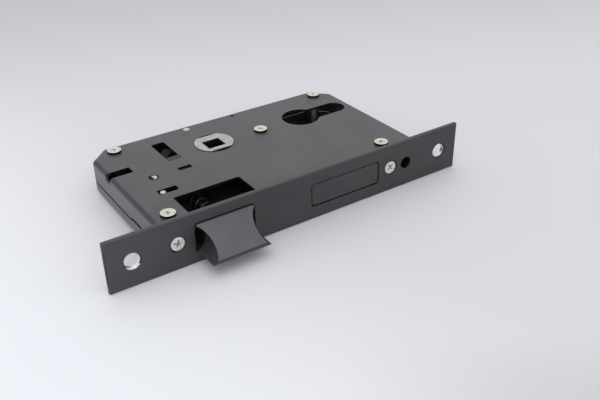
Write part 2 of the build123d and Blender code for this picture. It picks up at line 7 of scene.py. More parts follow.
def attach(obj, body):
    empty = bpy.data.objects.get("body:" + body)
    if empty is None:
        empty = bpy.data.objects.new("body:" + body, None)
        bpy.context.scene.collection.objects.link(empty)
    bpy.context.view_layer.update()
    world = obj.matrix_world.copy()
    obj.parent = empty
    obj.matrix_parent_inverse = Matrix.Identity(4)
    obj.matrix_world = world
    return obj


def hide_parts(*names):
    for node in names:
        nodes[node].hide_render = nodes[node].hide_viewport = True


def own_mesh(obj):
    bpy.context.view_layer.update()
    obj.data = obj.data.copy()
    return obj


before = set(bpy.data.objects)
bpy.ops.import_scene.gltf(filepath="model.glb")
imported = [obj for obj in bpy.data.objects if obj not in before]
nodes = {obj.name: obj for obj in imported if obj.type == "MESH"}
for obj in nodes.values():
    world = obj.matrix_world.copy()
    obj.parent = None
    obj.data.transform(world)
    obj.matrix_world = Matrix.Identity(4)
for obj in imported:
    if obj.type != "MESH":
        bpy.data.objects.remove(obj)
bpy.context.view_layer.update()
scene = bpy.context.scene
mm = 0.001
fullTurn = 2 * math.pi
print("lock frame loaded:", len(nodes), "solids")


# a shader socket that takes part in sums
class Wire:
    def __init__(self, tree, socket=None):
        self.tree = tree
        self.socket = socket

    # any node: its settings first, then the values or links of its sockets
    def node(self, kind, settings=None, sockets=None, out=0):
        made = self.tree.nodes.new(kind)
        for key, value in (settings or {}).items():
            setattr(made, key, value)
        for key, value in (sockets or {}).items():
            if isinstance(value, Wire):
                self.tree.links.new(value.socket, made.inputs[key])
            else:
                made.inputs[key].default_value = value
        return Wire(self.tree, made.outputs[out] if made.outputs else None)

    def sum(self, operation, *values):
        return self.node("ShaderNodeMath", {"operation": operation}, dict(enumerate(values)))

    def __add__(self, other):
        return self.sum("ADD", self, other)

    def __radd__(self, other):
        return self.sum("ADD", other, self)

    def __sub__(self, other):
        return self.sum("SUBTRACT", self, other)

    def __rsub__(self, other):
        return self.sum("SUBTRACT", other, self)

    def __mul__(self, other):
        return self.sum("MULTIPLY", self, other)

    def __abs__(self):
        return self.sum("ABSOLUTE", self)

    # distance from an axis, from the two numbers across it
    def reach(self, other):
        return self.sum("SQRT", self * self + other * other)

    # 0 below low, 1 above high, a smooth step between
    def step(self, low, high):
        return self.node("ShaderNodeMapRange", {"interpolation_type": "SMOOTHSTEP"},
                         {"Value": self, "From Min": low, "From Max": high})

    # the other way round: 1 below low, 0 above high
    def fall(self, low, high):
        return 1 - self.step(low, high)

    # above and below nought by up to a half, times an amount
    def sway(self, amount):
        return (self - 0.5) * amount

    def noise(self, place, scale, detail, roughness=0.55):
        return self.node("ShaderNodeTexNoise", {}, {"Vector": place, "Scale": scale, "Detail": detail,
                                                    "Roughness": roughness})

    # noise drawn out along the axis of the smallest scale
    def streaks(self, place, scales, detail):
        drawn = self.node("ShaderNodeVectorMath", {"operation": "MULTIPLY"}, {0: place, 1: scales})
        return self.noise(drawn, 1.0, detail)

    # noise in rings about an axis
    def rings(self, away, deep, scale, detail):
        return self.noise(self.node("ShaderNodeCombineXYZ", {}, {"X": away, "Y": deep}), scale, detail)

    # colour b over colour a by a mask
    def blend(self, mask, a, b):
        return self.node("ShaderNodeMix", {"data_type": "RGBA"}, {"Factor": mask, 6: a, 7: b}, out=2)

    # number b over number a by a mask
    def ease(self, mask, a, b):
        return self.node("ShaderNodeMix", {"data_type": "FLOAT"}, {"Factor": mask, 2: a, 3: b})

    # how far two vectors point the same way
    def agree(self, a, b):
        return self.node("ShaderNodeVectorMath", {"operation": "DOT_PRODUCT"}, {0: a, 1: b}, out="Value")

    # a vector's three numbers
    def parts(self, vector):
        split = self.node("ShaderNodeSeparateXYZ", {}, {"Vector": vector}).socket.node
        return [Wire(self.tree, split.outputs[i]) for i in range(3)]

    # the surface's own direction, with its edges unrounded
    def trueNormal(self):
        return self.node("ShaderNodeNewGeometry", out="True Normal")

    # small relief, on a rounded normal where one is given
    def relief(self, strength, depth, height, **normal):
        return self.node("ShaderNodeBump", {}, {"Strength": strength, "Distance": depth, "Height": height, **normal})


# a new material: returns it, a loose wire in its tree and its object coordinates
def startFinish(name):
    made = bpy.data.materials.new(name)
    made.use_nodes = True
    made.node_tree.nodes.clear()
    loose = Wire(made.node_tree)
    return made, loose, loose.node("ShaderNodeTexCoord", out="Object")


# where the surface turns sharply: the rounded normal leans away from the true one
def edgeLean(loose, radius, samples=6):
    rounded = loose.node("ShaderNodeBevel", {"samples": samples}, {"Radius": radius})
    return rounded, 1 - loose.agree(rounded, loose.trueNormal())


def endFinish(loose, **sockets):
    shader = loose.node("ShaderNodeBsdfPrincipled", {}, {key.replace("_", " "): v for key, v in sockets.items()})
    loose.node("ShaderNodeOutputMaterial", {}, {"Surface": shader})


def rgb(r, g, b):
    return (r, g, b, 1.0)


# finishes: places in metres; a noise is scale, detail and roughness; a pair is where a mask starts and ends;
# show is how much of a colour a mask lays on, gloss how much it changes the roughness

# black coat on the case, forend and bolts: fine peel, soft mottle, handling marks, steel showing at rubbed edges
# one coat in three shades: the forend's darker copy is painted shade, the latch's paler copy painted light
blackCoat = {"case": rgb(0.064, 0.064, 0.066), "caseLight": rgb(0.079, 0.079, 0.081), "caseRough": 0.38,
             "forend": rgb(0.030, 0.030, 0.033), "forendLight": rgb(0.038, 0.038, 0.041), "forendRough": 0.42,
             "latch": rgb(0.090, 0.088, 0.097), "latchLight": rgb(0.108, 0.106, 0.116), "latchRough": 0.40,
             "shadeBlack": rgb(0.004, 0.004, 0.004), "rubbed": rgb(0.17, 0.17, 0.175),
             "mottle": (55.0, 4.0), "mottleMask": (0.35, 0.65), "mottleGloss": 0.10,
             "peel": (2600.0, 2.0), "peelStrength": 0.35, "peelDepth": 0.00002,
             "scuff": (420.0, 5.0, 0.65), "scuffMask": (0.40, 0.62), "scuffGloss": 0.12,
             "marks": (260.0, 2600.0, 900.0), "marksDetail": 2.0, "marksMask": (0.70, 0.78),
             "marksShow": 0.05, "marksGloss": 0.05,
             "speck": (1500.0, 1.0), "speckMask": (0.735, 0.76), "speckShow": 0.06,
             "edge": 0.00030, "edgeMask": (0.10, 0.42), "wornShow": 0.50, "wornMetal": 0.25}


# own lays on what only one piece has below the wear, and bare lays on its bare metal last
def makeCoat(name, kind, own=None, bare=None):
    made, w, place = startFinish(name)
    mottle = w.noise(place, *blackCoat["mottle"])
    peel = w.noise(place, *blackCoat["peel"])
    scuff = w.noise(place, *blackCoat["scuff"])
    marks = w.streaks(place, blackCoat["marks"], blackCoat["marksDetail"]).step(*blackCoat["marksMask"])
    rounded, lean = edgeLean(w, blackCoat["edge"])
    worn = lean.step(*blackCoat["edgeMask"]) * scuff.step(*blackCoat["scuffMask"])
    speck = w.noise(place, *blackCoat["speck"]).step(*blackCoat["speckMask"])
    colour = w.blend(mottle.step(*blackCoat["mottleMask"]), blackCoat[kind], blackCoat[kind + "Light"])
    if own:
        colour = own(w, place, colour)
    wear = worn * blackCoat["wornShow"] + speck * blackCoat["speckShow"] + marks * blackCoat["marksShow"]
    colour = w.blend(wear, colour, blackCoat["rubbed"])
    metal = worn * blackCoat["wornMetal"]
    gloss = blackCoat[kind + "Rough"] + mottle.sway(blackCoat["mottleGloss"]) + scuff.sway(blackCoat["scuffGloss"])
    gloss = gloss - marks * blackCoat["marksGloss"]
    if bare:
        colour, metal, gloss = bare(w, place, scuff, colour, metal, gloss)
    relief = w.relief(blackCoat["peelStrength"], blackCoat["peelDepth"], peel, Normal=rounded)
    endFinish(w, Base_Color=colour, Roughness=gloss, Metallic=metal, Normal=relief)
    return made


# case: painted light on the latch end's flank, painted shade along the bent edge above it, a painted shadow in the seam
# with one step, painted shade on the walls of its cuts
caseOwn = {"wall": rgb(0.098, 0.098, 0.116), "wallX": (-0.0614, -0.0610),
           "bend": rgb(0.020, 0.020, 0.023), "bendX": (-0.0603, -0.0597), "bendZ": (0.0058, 0.0066), "bendShow": 0.9,
           "seamZ": -0.0023, "seamHalf": (0.00050, 0.00100), "seamStep": 0.0009, "seamStepY": (0.0288, 0.0292),
           "middleX": 0.00065, "innerX": (0.0603, 0.0605), "innerY": (0.0738, 0.0740),
           "innerCorner": (0.1278, 0.1280), "cutMask": (0.15, 0.45)}


def paintCase(w, place, colour):
    x, y, z = w.parts(place)
    # painted light: the latch end's flank is paler, as it faces the light
    colour = w.blend(x.fall(*caseOwn["wallX"]), colour, caseOwn["wall"])
    # painted shade along the bent edge above that flank
    bend = x.fall(*caseOwn["bendX"]) * z.step(*caseOwn["bendZ"])
    colour = w.blend(bend * caseOwn["bendShow"], colour, caseOwn["bend"])
    # painted shadow: a black line a little wider than the gap between cover and tray, with one step
    level = z - caseOwn["seamZ"] - y.fall(*caseOwn["seamStepY"]) * caseOwn["seamStep"]
    colour = w.blend(abs(level).fall(*caseOwn["seamHalf"]), colour, blackCoat["shadeBlack"])
    # painted shade: the upright walls of cuts inside the case's outline are drawn black
    side = abs(x - caseOwn["middleX"])
    inner = side.fall(*caseOwn["innerX"]) * y.fall(*caseOwn["innerY"]) * (side + y).fall(*caseOwn["innerCorner"])
    cut = inner * abs(w.parts(w.trueNormal())[2]).fall(*caseOwn["cutMask"])
    return w.blend(cut, colour, blackCoat["shadeBlack"])


# latch: painted shade in the hollows, which face along x, and on the blunt tip, and a painted shadow where it comes out
# of the slot's mouth
latchOwn = {"dull": rgb(0.034, 0.034, 0.038), "hollowMask": (0.25, 0.60), "mouthY": (-0.0005, -0.0002),
            "tipY": (-0.0127, -0.0126)}


def paintLatch(w, place, colour):
    y = w.parts(place)[1]
    # painted shade in the hollows
    colour = w.blend(abs(w.parts(w.trueNormal())[0]).step(*latchOwn["hollowMask"]), colour, latchOwn["dull"])
    # painted shadow where the latch comes out of the slot's mouth
    colour = w.blend(y.step(*latchOwn["mouthY"]), colour, blackCoat["shadeBlack"])
    # painted shade on the blunt tip
    return w.blend(y.fall(*latchOwn["tipY"]), colour, latchOwn["dull"])


# forend: painted bluish light at the latch's end, painted light along the top, a painted highlight on the top's rear
# edge, painted shade on the slot walls, bare and bright fixing holes; a screw head has rubbed the left hole's sink on
# its lower side
forendOwn = {"cool": rgb(0.052, 0.053, 0.068), "coolX": (-0.085, -0.030), "coolLightShow": 0.7,
             "rim": rgb(0.066, 0.066, 0.072), "rimZ": (0.0104, 0.0109), "rimShow": 0.8,
             "rearHighlight": rgb(0.16, 0.16, 0.165), "rearRimY": (0.0014, 0.0018), "rearHighlightShow": 0.6,
             "slotZ": (0.0068, 0.0070), "slotY": (0.00003, 0.00012),
             "holeX": 0.0739, "bore": (0.00305, 0.00315), "bareY": (0.00002, 0.0002),
             "sink": (0.0035, 0.0036), "sinkX": (-0.001, 0.001), "sinkZ": (-0.0024, -0.0019), "sinkScuff": (0.30, 0.45),
             "bare": rgb(0.82, 0.82, 0.82), "bareMetal": 0.95, "bareRough": 0.22,
             "turning": (9000.0, 2.0), "turningGloss": 0.15}


def bareForend(w, place, scuff, colour, metal, gloss):
    x, y, z = w.parts(place)
    # painted light: bluish and paler towards the latch's end
    colour = w.blend(x.fall(*forendOwn["coolX"]) * forendOwn["coolLightShow"], colour, forendOwn["cool"])
    # painted light: the top face paler, as it faces the light
    top = z.step(*forendOwn["rimZ"])
    colour = w.blend(top * forendOwn["rimShow"], colour, forendOwn["rim"])
    # painted highlight along the top's rear edge
    rear = top * y.step(*forendOwn["rearRimY"])
    colour = w.blend(rear * forendOwn["rearHighlightShow"], colour, forendOwn["rearHighlight"])
    # painted shade: the walls inside the slots are drawn black
    slot = abs(z).fall(*forendOwn["slotZ"]) * y.step(*forendOwn["slotY"])
    colour = w.blend(slot, colour, blackCoat["shadeBlack"])
    away = (abs(x) - forendOwn["holeX"]).reach(z)
    rub = away.fall(*forendOwn["sink"]) * x.fall(*forendOwn["sinkX"]) * z.fall(*forendOwn["sinkZ"])
    rub = rub * scuff.step(*forendOwn["sinkScuff"])
    bare = w.sum("MAXIMUM", away.fall(*forendOwn["bore"]), rub) * y.step(*forendOwn["bareY"])
    turned = forendOwn["bareRough"] + w.rings(away, y, *forendOwn["turning"]) * forendOwn["turningGloss"]
    colour = w.blend(bare, colour, forendOwn["bare"])
    return colour, metal + bare * forendOwn["bareMetal"], w.ease(bare, gloss, turned)


# plated screws: turned rings on the head, grime and painted shade in the recess below its top, painted shade on the
# head's side, read from the piece's own screwPlace
nickelPlate = {"ivory": rgb(0.86, 0.83, 0.74), "roseReflection": rgb(0.86, 0.80, 0.79), "dull": rgb(0.60, 0.55, 0.50),
               "grime": rgb(0.030, 0.026, 0.022), "rough": 0.26,
               "rings": (5200.0, 3.0), "ringsDown": 0.2, "ringsGloss": 0.16, "ringsStrength": 0.4,
               "ringsDepth": 0.000012,
               "stain": (700.0, 4.0), "stainMask": (0.40, 0.68), "stainShow": 0.6, "stainGlossMask": (0.5, 0.8),
               "stainGloss": 0.10,
               "sunk": (-0.00056, -0.00022), "sunkShow": 0.15, "sunkStain": 0.5, "sunkGloss": 0.30,
               "sideAway": (0.00286, 0.00292), "sideDeep": (-0.00018, -0.00011)}


def makeNickel(name, bright):
    made, w, place = startFinish(name)
    own = w.node("ShaderNodeAttribute", {"attribute_name": "screwPlace"}, out="Vector")
    across, along, deep = w.parts(own)
    away = across.reach(along)
    rings = w.rings(away, deep * nickelPlate["ringsDown"], *nickelPlate["rings"])
    stain = w.noise(place, *nickelPlate["stain"])
    sunk = deep.fall(*nickelPlate["sunk"])
    # painted shade on the side of the head, below its brow
    side = away.step(*nickelPlate["sideAway"]) * deep.fall(*nickelPlate["sideDeep"])
    # the recess: painted shade, with grime where the stain lies
    dirtAndShade = sunk * (nickelPlate["sunkShow"] + stain * nickelPlate["sunkStain"]) + side
    dulled = stain.step(*nickelPlate["stainMask"]) * nickelPlate["stainShow"]
    colour = w.blend(dulled, bright, nickelPlate["dull"])
    colour = w.blend(dirtAndShade, colour, nickelPlate["grime"])
    gloss = nickelPlate["rough"] + rings.sway(nickelPlate["ringsGloss"])
    gloss = gloss + stain.step(*nickelPlate["stainGlossMask"]) * nickelPlate["stainGloss"]
    gloss = gloss + sunk * nickelPlate["sunkGloss"]
    relief = w.relief(nickelPlate["ringsStrength"], nickelPlate["ringsDepth"], rings)
    endFinish(w, Base_Color=colour, Roughness=gloss, Metallic=1.0, Normal=relief)
    return made


# cast and plated follower: small pits, faint polishing lines, glossier on its rounded edges, painted shade on its sides
zincCasting = {"bright": rgb(0.58, 0.575, 0.57), "dull": rgb(0.39, 0.385, 0.38), "side": rgb(0.15, 0.14, 0.14),
               "sideMask": (0.3, 0.8), "rough": 0.38,
               "pits": (1900.0, 3.0), "pitsMask": (0.60, 0.75), "pitsShow": 0.35, "pitsHeight": 0.7,
               "cloud": (240.0, 4.0), "cloudMask": (0.36, 0.68), "cloudShow": 0.5, "cloudGloss": 0.16,
               "lines": (300.0, 9000.0, 300.0), "linesDetail": 2.0, "linesGloss": 0.12, "linesHeight": 0.3,
               "edge": 0.00045, "edgeMask": (0.05, 0.4), "edgeGloss": 0.10, "strength": 0.35, "depth": 0.00003}


def makeZinc(name):
    made, w, place = startFinish(name)
    pits = w.noise(place, *zincCasting["pits"])
    cloud = w.noise(place, *zincCasting["cloud"])
    lines = w.streaks(place, zincCasting["lines"], zincCasting["linesDetail"])
    rounded, lean = edgeLean(w, zincCasting["edge"])
    dulled = cloud.step(*zincCasting["cloudMask"]) * zincCasting["cloudShow"]
    dulled = dulled + pits.step(*zincCasting["pitsMask"]) * zincCasting["pitsShow"]
    colour = w.blend(dulled, zincCasting["bright"], zincCasting["dull"])
    # painted shade on the upright sides
    side = abs(w.parts(w.trueNormal())[2]).fall(*zincCasting["sideMask"])
    colour = w.blend(side, colour, zincCasting["side"])
    gloss = zincCasting["rough"] + cloud.sway(zincCasting["cloudGloss"]) + lines.sway(zincCasting["linesGloss"])
    gloss = gloss - lean.step(*zincCasting["edgeMask"]) * zincCasting["edgeGloss"]
    height = pits * zincCasting["pitsHeight"] + lines * zincCasting["linesHeight"]
    relief = w.relief(zincCasting["strength"], zincCasting["depth"], height, Normal=rounded)
    endFinish(w, Base_Color=colour, Roughness=gloss, Metallic=1.0, Normal=relief)
    return made


# inner steel: drawn or sheared stock with lines along one axis, oil stain and bright edges
innerSteel = {"plain": rgb(0.50, 0.50, 0.51), "turned": rgb(0.70, 0.69, 0.68), "stain": rgb(0.28, 0.27, 0.26),
              "dark": rgb(0.045, 0.045, 0.048), "darkStain": rgb(0.028, 0.027, 0.026),
              "rod": rgb(0.10, 0.10, 0.11), "rodStain": rgb(0.05, 0.05, 0.05),
              "spring": rgb(0.055, 0.055, 0.06), "springStain": rgb(0.03, 0.03, 0.03),
              "blued": rgb(0.012, 0.012, 0.014),
              "alongX": (200.0, 6000.0, 6000.0), "alongY": (6000.0, 200.0, 6000.0), "alongZ": (6000.0, 6000.0, 200.0),
              "drawnDetail": 3.0, "drawnGloss": 0.15,
              "cloud": (320.0, 5.0, 0.6), "cloudMask": (0.42, 0.70), "cloudShow": 0.7, "cloudGloss": 0.25,
              "edge": 0.0002, "edgeMask": (0.08, 0.4), "strength": 0.3, "depth": 0.00002}


# the last pair of x lays painted shade on a pin's domed end below it, the side turned from the light
def makeSteel(name, bright, stain, lines, rough, metallic=1.0, edgeShine=0.35, glint=0.5, shadeBelowX=None):
    made, w, place = startFinish(name)
    drawn = w.streaks(place, innerSteel[lines], innerSteel["drawnDetail"])
    cloud = w.noise(place, *innerSteel["cloud"])
    rounded, lean = edgeLean(w, innerSteel["edge"])
    stained = cloud.step(*innerSteel["cloudMask"]) * innerSteel["cloudShow"]
    colour = w.blend(stained, innerSteel[bright], innerSteel[stain])
    colour = w.blend(lean.step(*innerSteel["edgeMask"]) * edgeShine, colour, innerSteel["plain"])
    # painted shade on the pin's end below the given x
    if shadeBelowX:
        colour = w.blend(w.parts(place)[0].fall(*shadeBelowX), colour, innerSteel["blued"])
    gloss = rough + cloud.sway(innerSteel["cloudGloss"]) + drawn.sway(innerSteel["drawnGloss"])
    relief = w.relief(innerSteel["strength"], innerSteel["depth"], drawn, Normal=rounded)
    endFinish(w, Base_Color=colour, Roughness=gloss, Metallic=metallic, Specular_IOR_Level=glint, Normal=relief)
    return made


caseCoat = makeCoat("caseCoat", "case", own=paintCase)
forendCoat = makeCoat("forendCoat", "forend", bare=bareForend)
boltCoat = makeCoat("boltCoat", "forend")
latchCoat = makeCoat("latchCoat", "latch", own=paintLatch)
coverNickel = makeNickel("coverNickel", nickelPlate["ivory"])
# the forend screws' rose tint is a painted reflection of something pink
forendNickel = makeNickel("forendNickel", nickelPlate["roseReflection"])
followerZinc = makeZinc("followerZinc")
sheetSteel = makeSteel("sheetSteel", "plain", "stain", "alongY", rough=0.34)
turnedSteel = makeSteel("turnedSteel", "turned", "stain", "alongZ", rough=0.26)
pivotSteel = makeSteel("pivotSteel", "turned", "stain", "alongZ", rough=0.26, shadeBelowX=(-0.0471, -0.0465))
rodSteel = makeSteel("rodSteel", "rod", "rodStain", "alongY", rough=0.40, edgeShine=0.05)
# painted shade: the springs' steel is darkened for the shade they lie in inside the case
springSteel = makeSteel("springSteel", "spring", "springStain", "alongX", rough=0.42, edgeShine=0.0)
bluedSteel = makeSteel("bluedSteel", "blued", "blued", "alongX", rough=0.70, metallic=0.0, edgeShine=0.02, glint=0.10)
darkSteel = makeSteel("darkSteel", "dark", "darkStain", "alongX", rough=0.46, metallic=0.5, edgeShine=0.12)

finishOf = {
    "case_cover": caseCoat, "case_tray": caseCoat, "forend": forendCoat,
    "deadbolt_head": boltCoat, "latch_head": latchCoat, "follower": followerZinc,
    "forend_screws": forendNickel, "cover_screws": coverNickel,
    "return_lever_pivot": pivotSteel, "lever_pin": turnedSteel, "follower_stop": turnedSteel,
    "tumbler_pivot": turnedSteel, "bolt_rivets": turnedSteel, "rod_nut": turnedSteel,
    "centre_pillar": turnedSteel, "rear_left_pillar": turnedSteel, "rear_right_pillar": turnedSteel,
    "front_left_block": sheetSteel, "front_right_block": sheetSteel,
    "return_lever": bluedSteel, "deadbolt_tail": bluedSteel, "deadbolt_stump": bluedSteel, "tumbler": bluedSteel,
    "tail_plate": darkSteel, "latch_bracket": darkSteel, "latch_rod": rodSteel,
    "latch_spring": springSteel, "return_spring": springSteel, "tumbler_spring": springSteel,
}
for name, node in nodes.items():
    node.data.materials.clear()
    node.data.materials.append(finishOf[name])
print("finishes on", len(finishOf), "solids")

# screws in millimetres. What both kinds share: the thread and where it runs in and out, the crossed recess with
# how its arms narrow and grow shallow, the tip as shares of the shank's radius at heights above the end, and rows
crossScrew = {"pitch": 0.7, "runIn": 0.8, "runOut": (0.3, 1.0),
              "arm": 0.80, "span": 3.4, "recess": 0.9, "narrows": 0.35, "shallows": 0.55,
              "armSide": (-0.05, 0.09), "armEnd": (-0.14, 0.06),
              "tipRadius": np.array([0.92, 0.72, 0.4]), "tipHeight": np.array([0.2, 0.02, 0.0]), "tip": 0.4,
              "columns": 128, "topRows": 40, "browRows": 6, "coneRows": 8, "pitchRows": 9, "crease": 0.03, "neck": 0.04}
# each kind's places, the turns of its heads in degrees, the seat's level, head and shank
coverScrew = {"places": [(-54.3, 9.8), (47.8, 9.3), (-50.7, 70.5), (54.3, 70.3), (12.0, 51.6)],
              "turns": (28.0, 71.0, 12.0, 50.0, 83.0), "level": 7.5, "head": 3.05, "height": 1.2, "crown": 0.10,
              "round": 0.14, "sunk": False, "shank": 1.6, "length": 6.0, "thread": 0.20, **crossScrew}
forendScrew = {"places": [(-55.7, 0.0), (46.0, 0.0)], "turns": (18.0, 62.0), "level": 0.35, "head": 2.9,
               "height": 0.0, "crown": 0.05, "round": 0.10, "sunk": True, "shank": 1.75, "length": 7.15,
               "thread": 0.22, **crossScrew}


def smooth(value, low, high):
    t = np.clip((value - low) / (high - low), 0.0, 1.0)
    return t * t * (3.0 - 2.0 * t)


# half section of a screw from the middle of its head to its tip: radius and height, row by row
def screwProfile(size):
    edge = size["head"] - size["round"]
    topRadius = np.linspace(edge / size["topRows"], edge, size["topRows"])
    topHeight = size["height"] - size["crown"] * (topRadius / edge) ** 2
    turn = np.linspace(0.0, math.pi / 2, size["browRows"] + 1)[1:]
    brow = size["height"] - size["crown"] - size["round"]
    browRadius = edge + size["round"] * np.sin(turn)
    browHeight = brow + size["round"] * np.cos(turn)
    flare = size["head"] - size["shank"]
    if size["sunk"]:  # a cone below the head, near half a right angle
        underRadius = np.linspace(size["head"] - size["crease"], size["shank"], size["coneRows"])
        underHeight = brow - (size["head"] - underRadius) * (flare + brow) / flare
    else:  # a straight side and a flat underside, with a crease between
        underRadius = size["head"] - flare * np.array([0.0, 0.0, size["crease"], 0.5, 1.0])
        underHeight = np.array([brow / 2, size["crease"], 0.0, 0.0, 0.0])
    shankRows = int(size["length"] / size["pitch"] * size["pitchRows"])
    shankHeight = np.linspace(underHeight[-1] - size["neck"], size["tip"] - size["length"], shankRows)
    shankRadius = np.full_like(shankHeight, size["shank"])
    tipRadius = size["shank"] * size["tipRadius"]
    tipHeight = size["tipHeight"] - size["length"]
    radius = np.concatenate([topRadius, browRadius, underRadius, shankRadius, tipRadius])
    height = np.concatenate([topHeight, browHeight, underHeight, shankHeight, tipHeight])
    above = len(topRadius) + len(browRadius) + len(underRadius)
    onShank = np.zeros(len(radius))
    onShank[above:above + shankRows] = 1.0
    return radius, height, onShank


# the section turned about its axis: the thread's radius falls by a cosine of height over pitch plus angle,
# and the head's height falls inside a cross whose arms narrow outwards and grow shallow from the middle
def turnScrew(size, headTurn):
    radius, height, onShank = screwProfile(size)
    angle = np.linspace(0.0, fullTurn, size["columns"], endpoint=False)
    wave = 0.5 + 0.5 * np.cos(fullTurn * height[:, None] / size["pitch"] + angle[None, :])
    neck = height[onShank > 0][0]
    runOut = [v - size["length"] for v in size["runOut"]]
    ends = smooth(height, *runOut) * smooth(-height, -neck, size["runIn"] - neck)
    r = radius[:, None] - size["thread"] * wave * (onShank * ends)[:, None]
    aim = angle + math.radians(headTurn)
    longWay = np.abs(radius[:, None] * np.cos(aim)[None, :])
    crossWay = np.abs(radius[:, None] * np.sin(aim)[None, :])
    half = size["span"] / 2

    def arm(along, across):
        width = size["arm"] / 2 * (1.0 - size["narrows"] * along / half)
        side = smooth(across, *(width + v for v in size["armSide"]))
        end = smooth(along, *(half + v for v in size["armEnd"]))
        return (1.0 - side) * (1.0 - end)

    cross = np.maximum(arm(longWay, crossWay), arm(crossWay, longWay))
    isTop = (np.arange(len(radius)) < size["topRows"])[:, None]
    bowl = size["recess"] * (1.0 - size["shallows"] * np.clip(radius / half, 0.0, 1.0) ** 2)[:, None]
    n = height[:, None] - np.where(isTop, cross * bowl, 0.0)
    return np.stack([r * np.cos(angle), r * np.sin(angle), n], -1)


# faces of a closed tube, whose points are a middle, rows of columns, and another middle
def tubeFaces(rows, cols):
    i, j = np.meshgrid(np.arange(rows - 1), np.arange(cols), indexing="ij")
    after = (j + 1) % cols
    quads = np.stack([i * cols + j, (i + 1) * cols + j, (i + 1) * cols + after, i * cols + after], -1)
    around = np.arange(cols)
    ahead = (around + 1) % cols
    lastRow = (rows - 1) * cols
    starts = np.stack([np.full(cols, -1), around, ahead], -1)
    ends = np.stack([np.full(cols, rows * cols), lastRow + ahead, lastRow + around], -1)
    return (quads.reshape(-1, 4) + 1).tolist() + (starts + 1).tolist() + (ends + 1).tolist()


# a smooth mesh from points in millimetres, with its node's finish, in place of that node
def addPiece(name, node, points, faces, body):
    mesh = bpy.data.meshes.new(name)
    mesh.from_pydata((points * mm).tolist(), [], faces)
    mesh.polygons.foreach_set("use_smooth", np.ones(len(mesh.polygons), bool))
    mesh.update()
    mesh.materials.append(finishOf[node])
    piece = bpy.data.objects.new(name, mesh)
    scene.collection.objects.link(piece)
    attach(piece, body)
    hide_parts(node)
    print(name, len(mesh.polygons), "faces")
    return piece


# one mesh of all screws of a kind, each a tube closed at the head's middle and at the tip
def makeScrews(name, node, size, toWorld):
    points, faces, own = [], [], []
    for place, headTurn in zip(size["places"], size["turns"]):
        grid = turnScrew(size, headTurn)
        middle, end = [[0.0, 0.0, size["height"] - size["recess"]]], [[0.0, 0.0, -size["length"]]]
        local = np.concatenate([middle, grid.reshape(-1, 3), end])
        first = len(points) * len(local)
        faces += [[first + v for v in face] for face in tubeFaces(*grid.shape[:2])]
        points.append(toWorld(local, place, size["level"]))
        own.append(local - [0.0, 0.0, size["height"]])
    screws = addPiece(name, node, np.concatenate(points), faces, "case")
    mark = screws.data.attributes.new("screwPlace", "FLOAT_VECTOR", "POINT")
    mark.data.foreach_set("vector", (np.concatenate(own) * mm).astype(np.float32).ravel())


# out of the cover: across is x, up the page is y, height is z
def fromCover(local, place, level):
    return local + [place[0], place[1], level]


# out of the forend: across is x, up the page is z, height runs towards -y
def fromForend(local, place, level):
    return np.stack([local[:, 0] + place[0], level - local[:, 2], local[:, 1] + place[1]], -1)


makeScrews("coverScrewSet", "cover_screws", coverScrew, fromCover)
makeScrews("forendScrewSet", "forend_screws", forendScrew, fromForend)

# latch spring about the rod, in millimetres and in two halves that a small cut parts: the front one rides with the
# tail, the rear one stays with the case
latchCoil = {"x": -35.7, "frontY": 8.44, "length": 29.62, "turns": 7, "radius": 3.0, "wire": 0.4, "bracketY": 38.5,
             "perTurn": 64, "around": 16, "cut": 0.03, "frontKeep": 0.276, "rearKeep": 0.2787}


# x is the radius by the cosine of the turn, z minus its sine, y rises evenly; the wire is a circle across that line
def windSpring(name, start, end, body):
    rows, cols = round((end - start) / fullTurn * latchCoil["perTurn"]), latchCoil["around"]
    turn = np.linspace(start, end, rows)
    rise = latchCoil["length"] / latchCoil["turns"] / fullTurn
    outward = np.stack([np.cos(turn), 0 * turn, -np.sin(turn)], -1)
    line = outward * latchCoil["radius"] + [latchCoil["x"], latchCoil["frontY"], 0.0]
    line[:, 1] += rise * turn
    ahead = np.stack([-np.sin(turn) * latchCoil["radius"], rise + 0 * turn, -np.cos(turn) * latchCoil["radius"]], -1)
    beside = np.cross(ahead / np.linalg.norm(ahead, axis=1)[:, None], outward)
    angle = np.arange(cols) / cols * fullTurn
    ring = np.cos(angle)[:, None] * outward[:, None] + np.sin(angle)[:, None] * beside[:, None]
    grid = line[:, None] + ring * latchCoil["wire"]
    points = np.concatenate([line[:1], grid.reshape(-1, 3), line[-1:]])
    faces = [face[:1] + face[:0:-1] for face in tubeFaces(rows, cols)]  # the ring runs the other way round
    half = addPiece(name, "latch_spring", points, faces, body)
    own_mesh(half)


halfTurn = latchCoil["turns"] * math.pi
windSpring("latchSpringFront", 0.0, halfTurn - latchCoil["cut"], "tail")
windSpring("latchSpringRear", halfTurn + latchCoil["cut"], 2 * halfTurn, "case")

# camera: place, sensor and lens in millimetres, angles in degrees, fitted to the forend's and the case's edges
viewer = {"place": (-146.61, -217.52, 156.24), "yaw": 33.70, "pitch": 30.81, "roll": -1.00, "lens": 45.38,
          "sensor": 36.0, "nearest": 10.0}


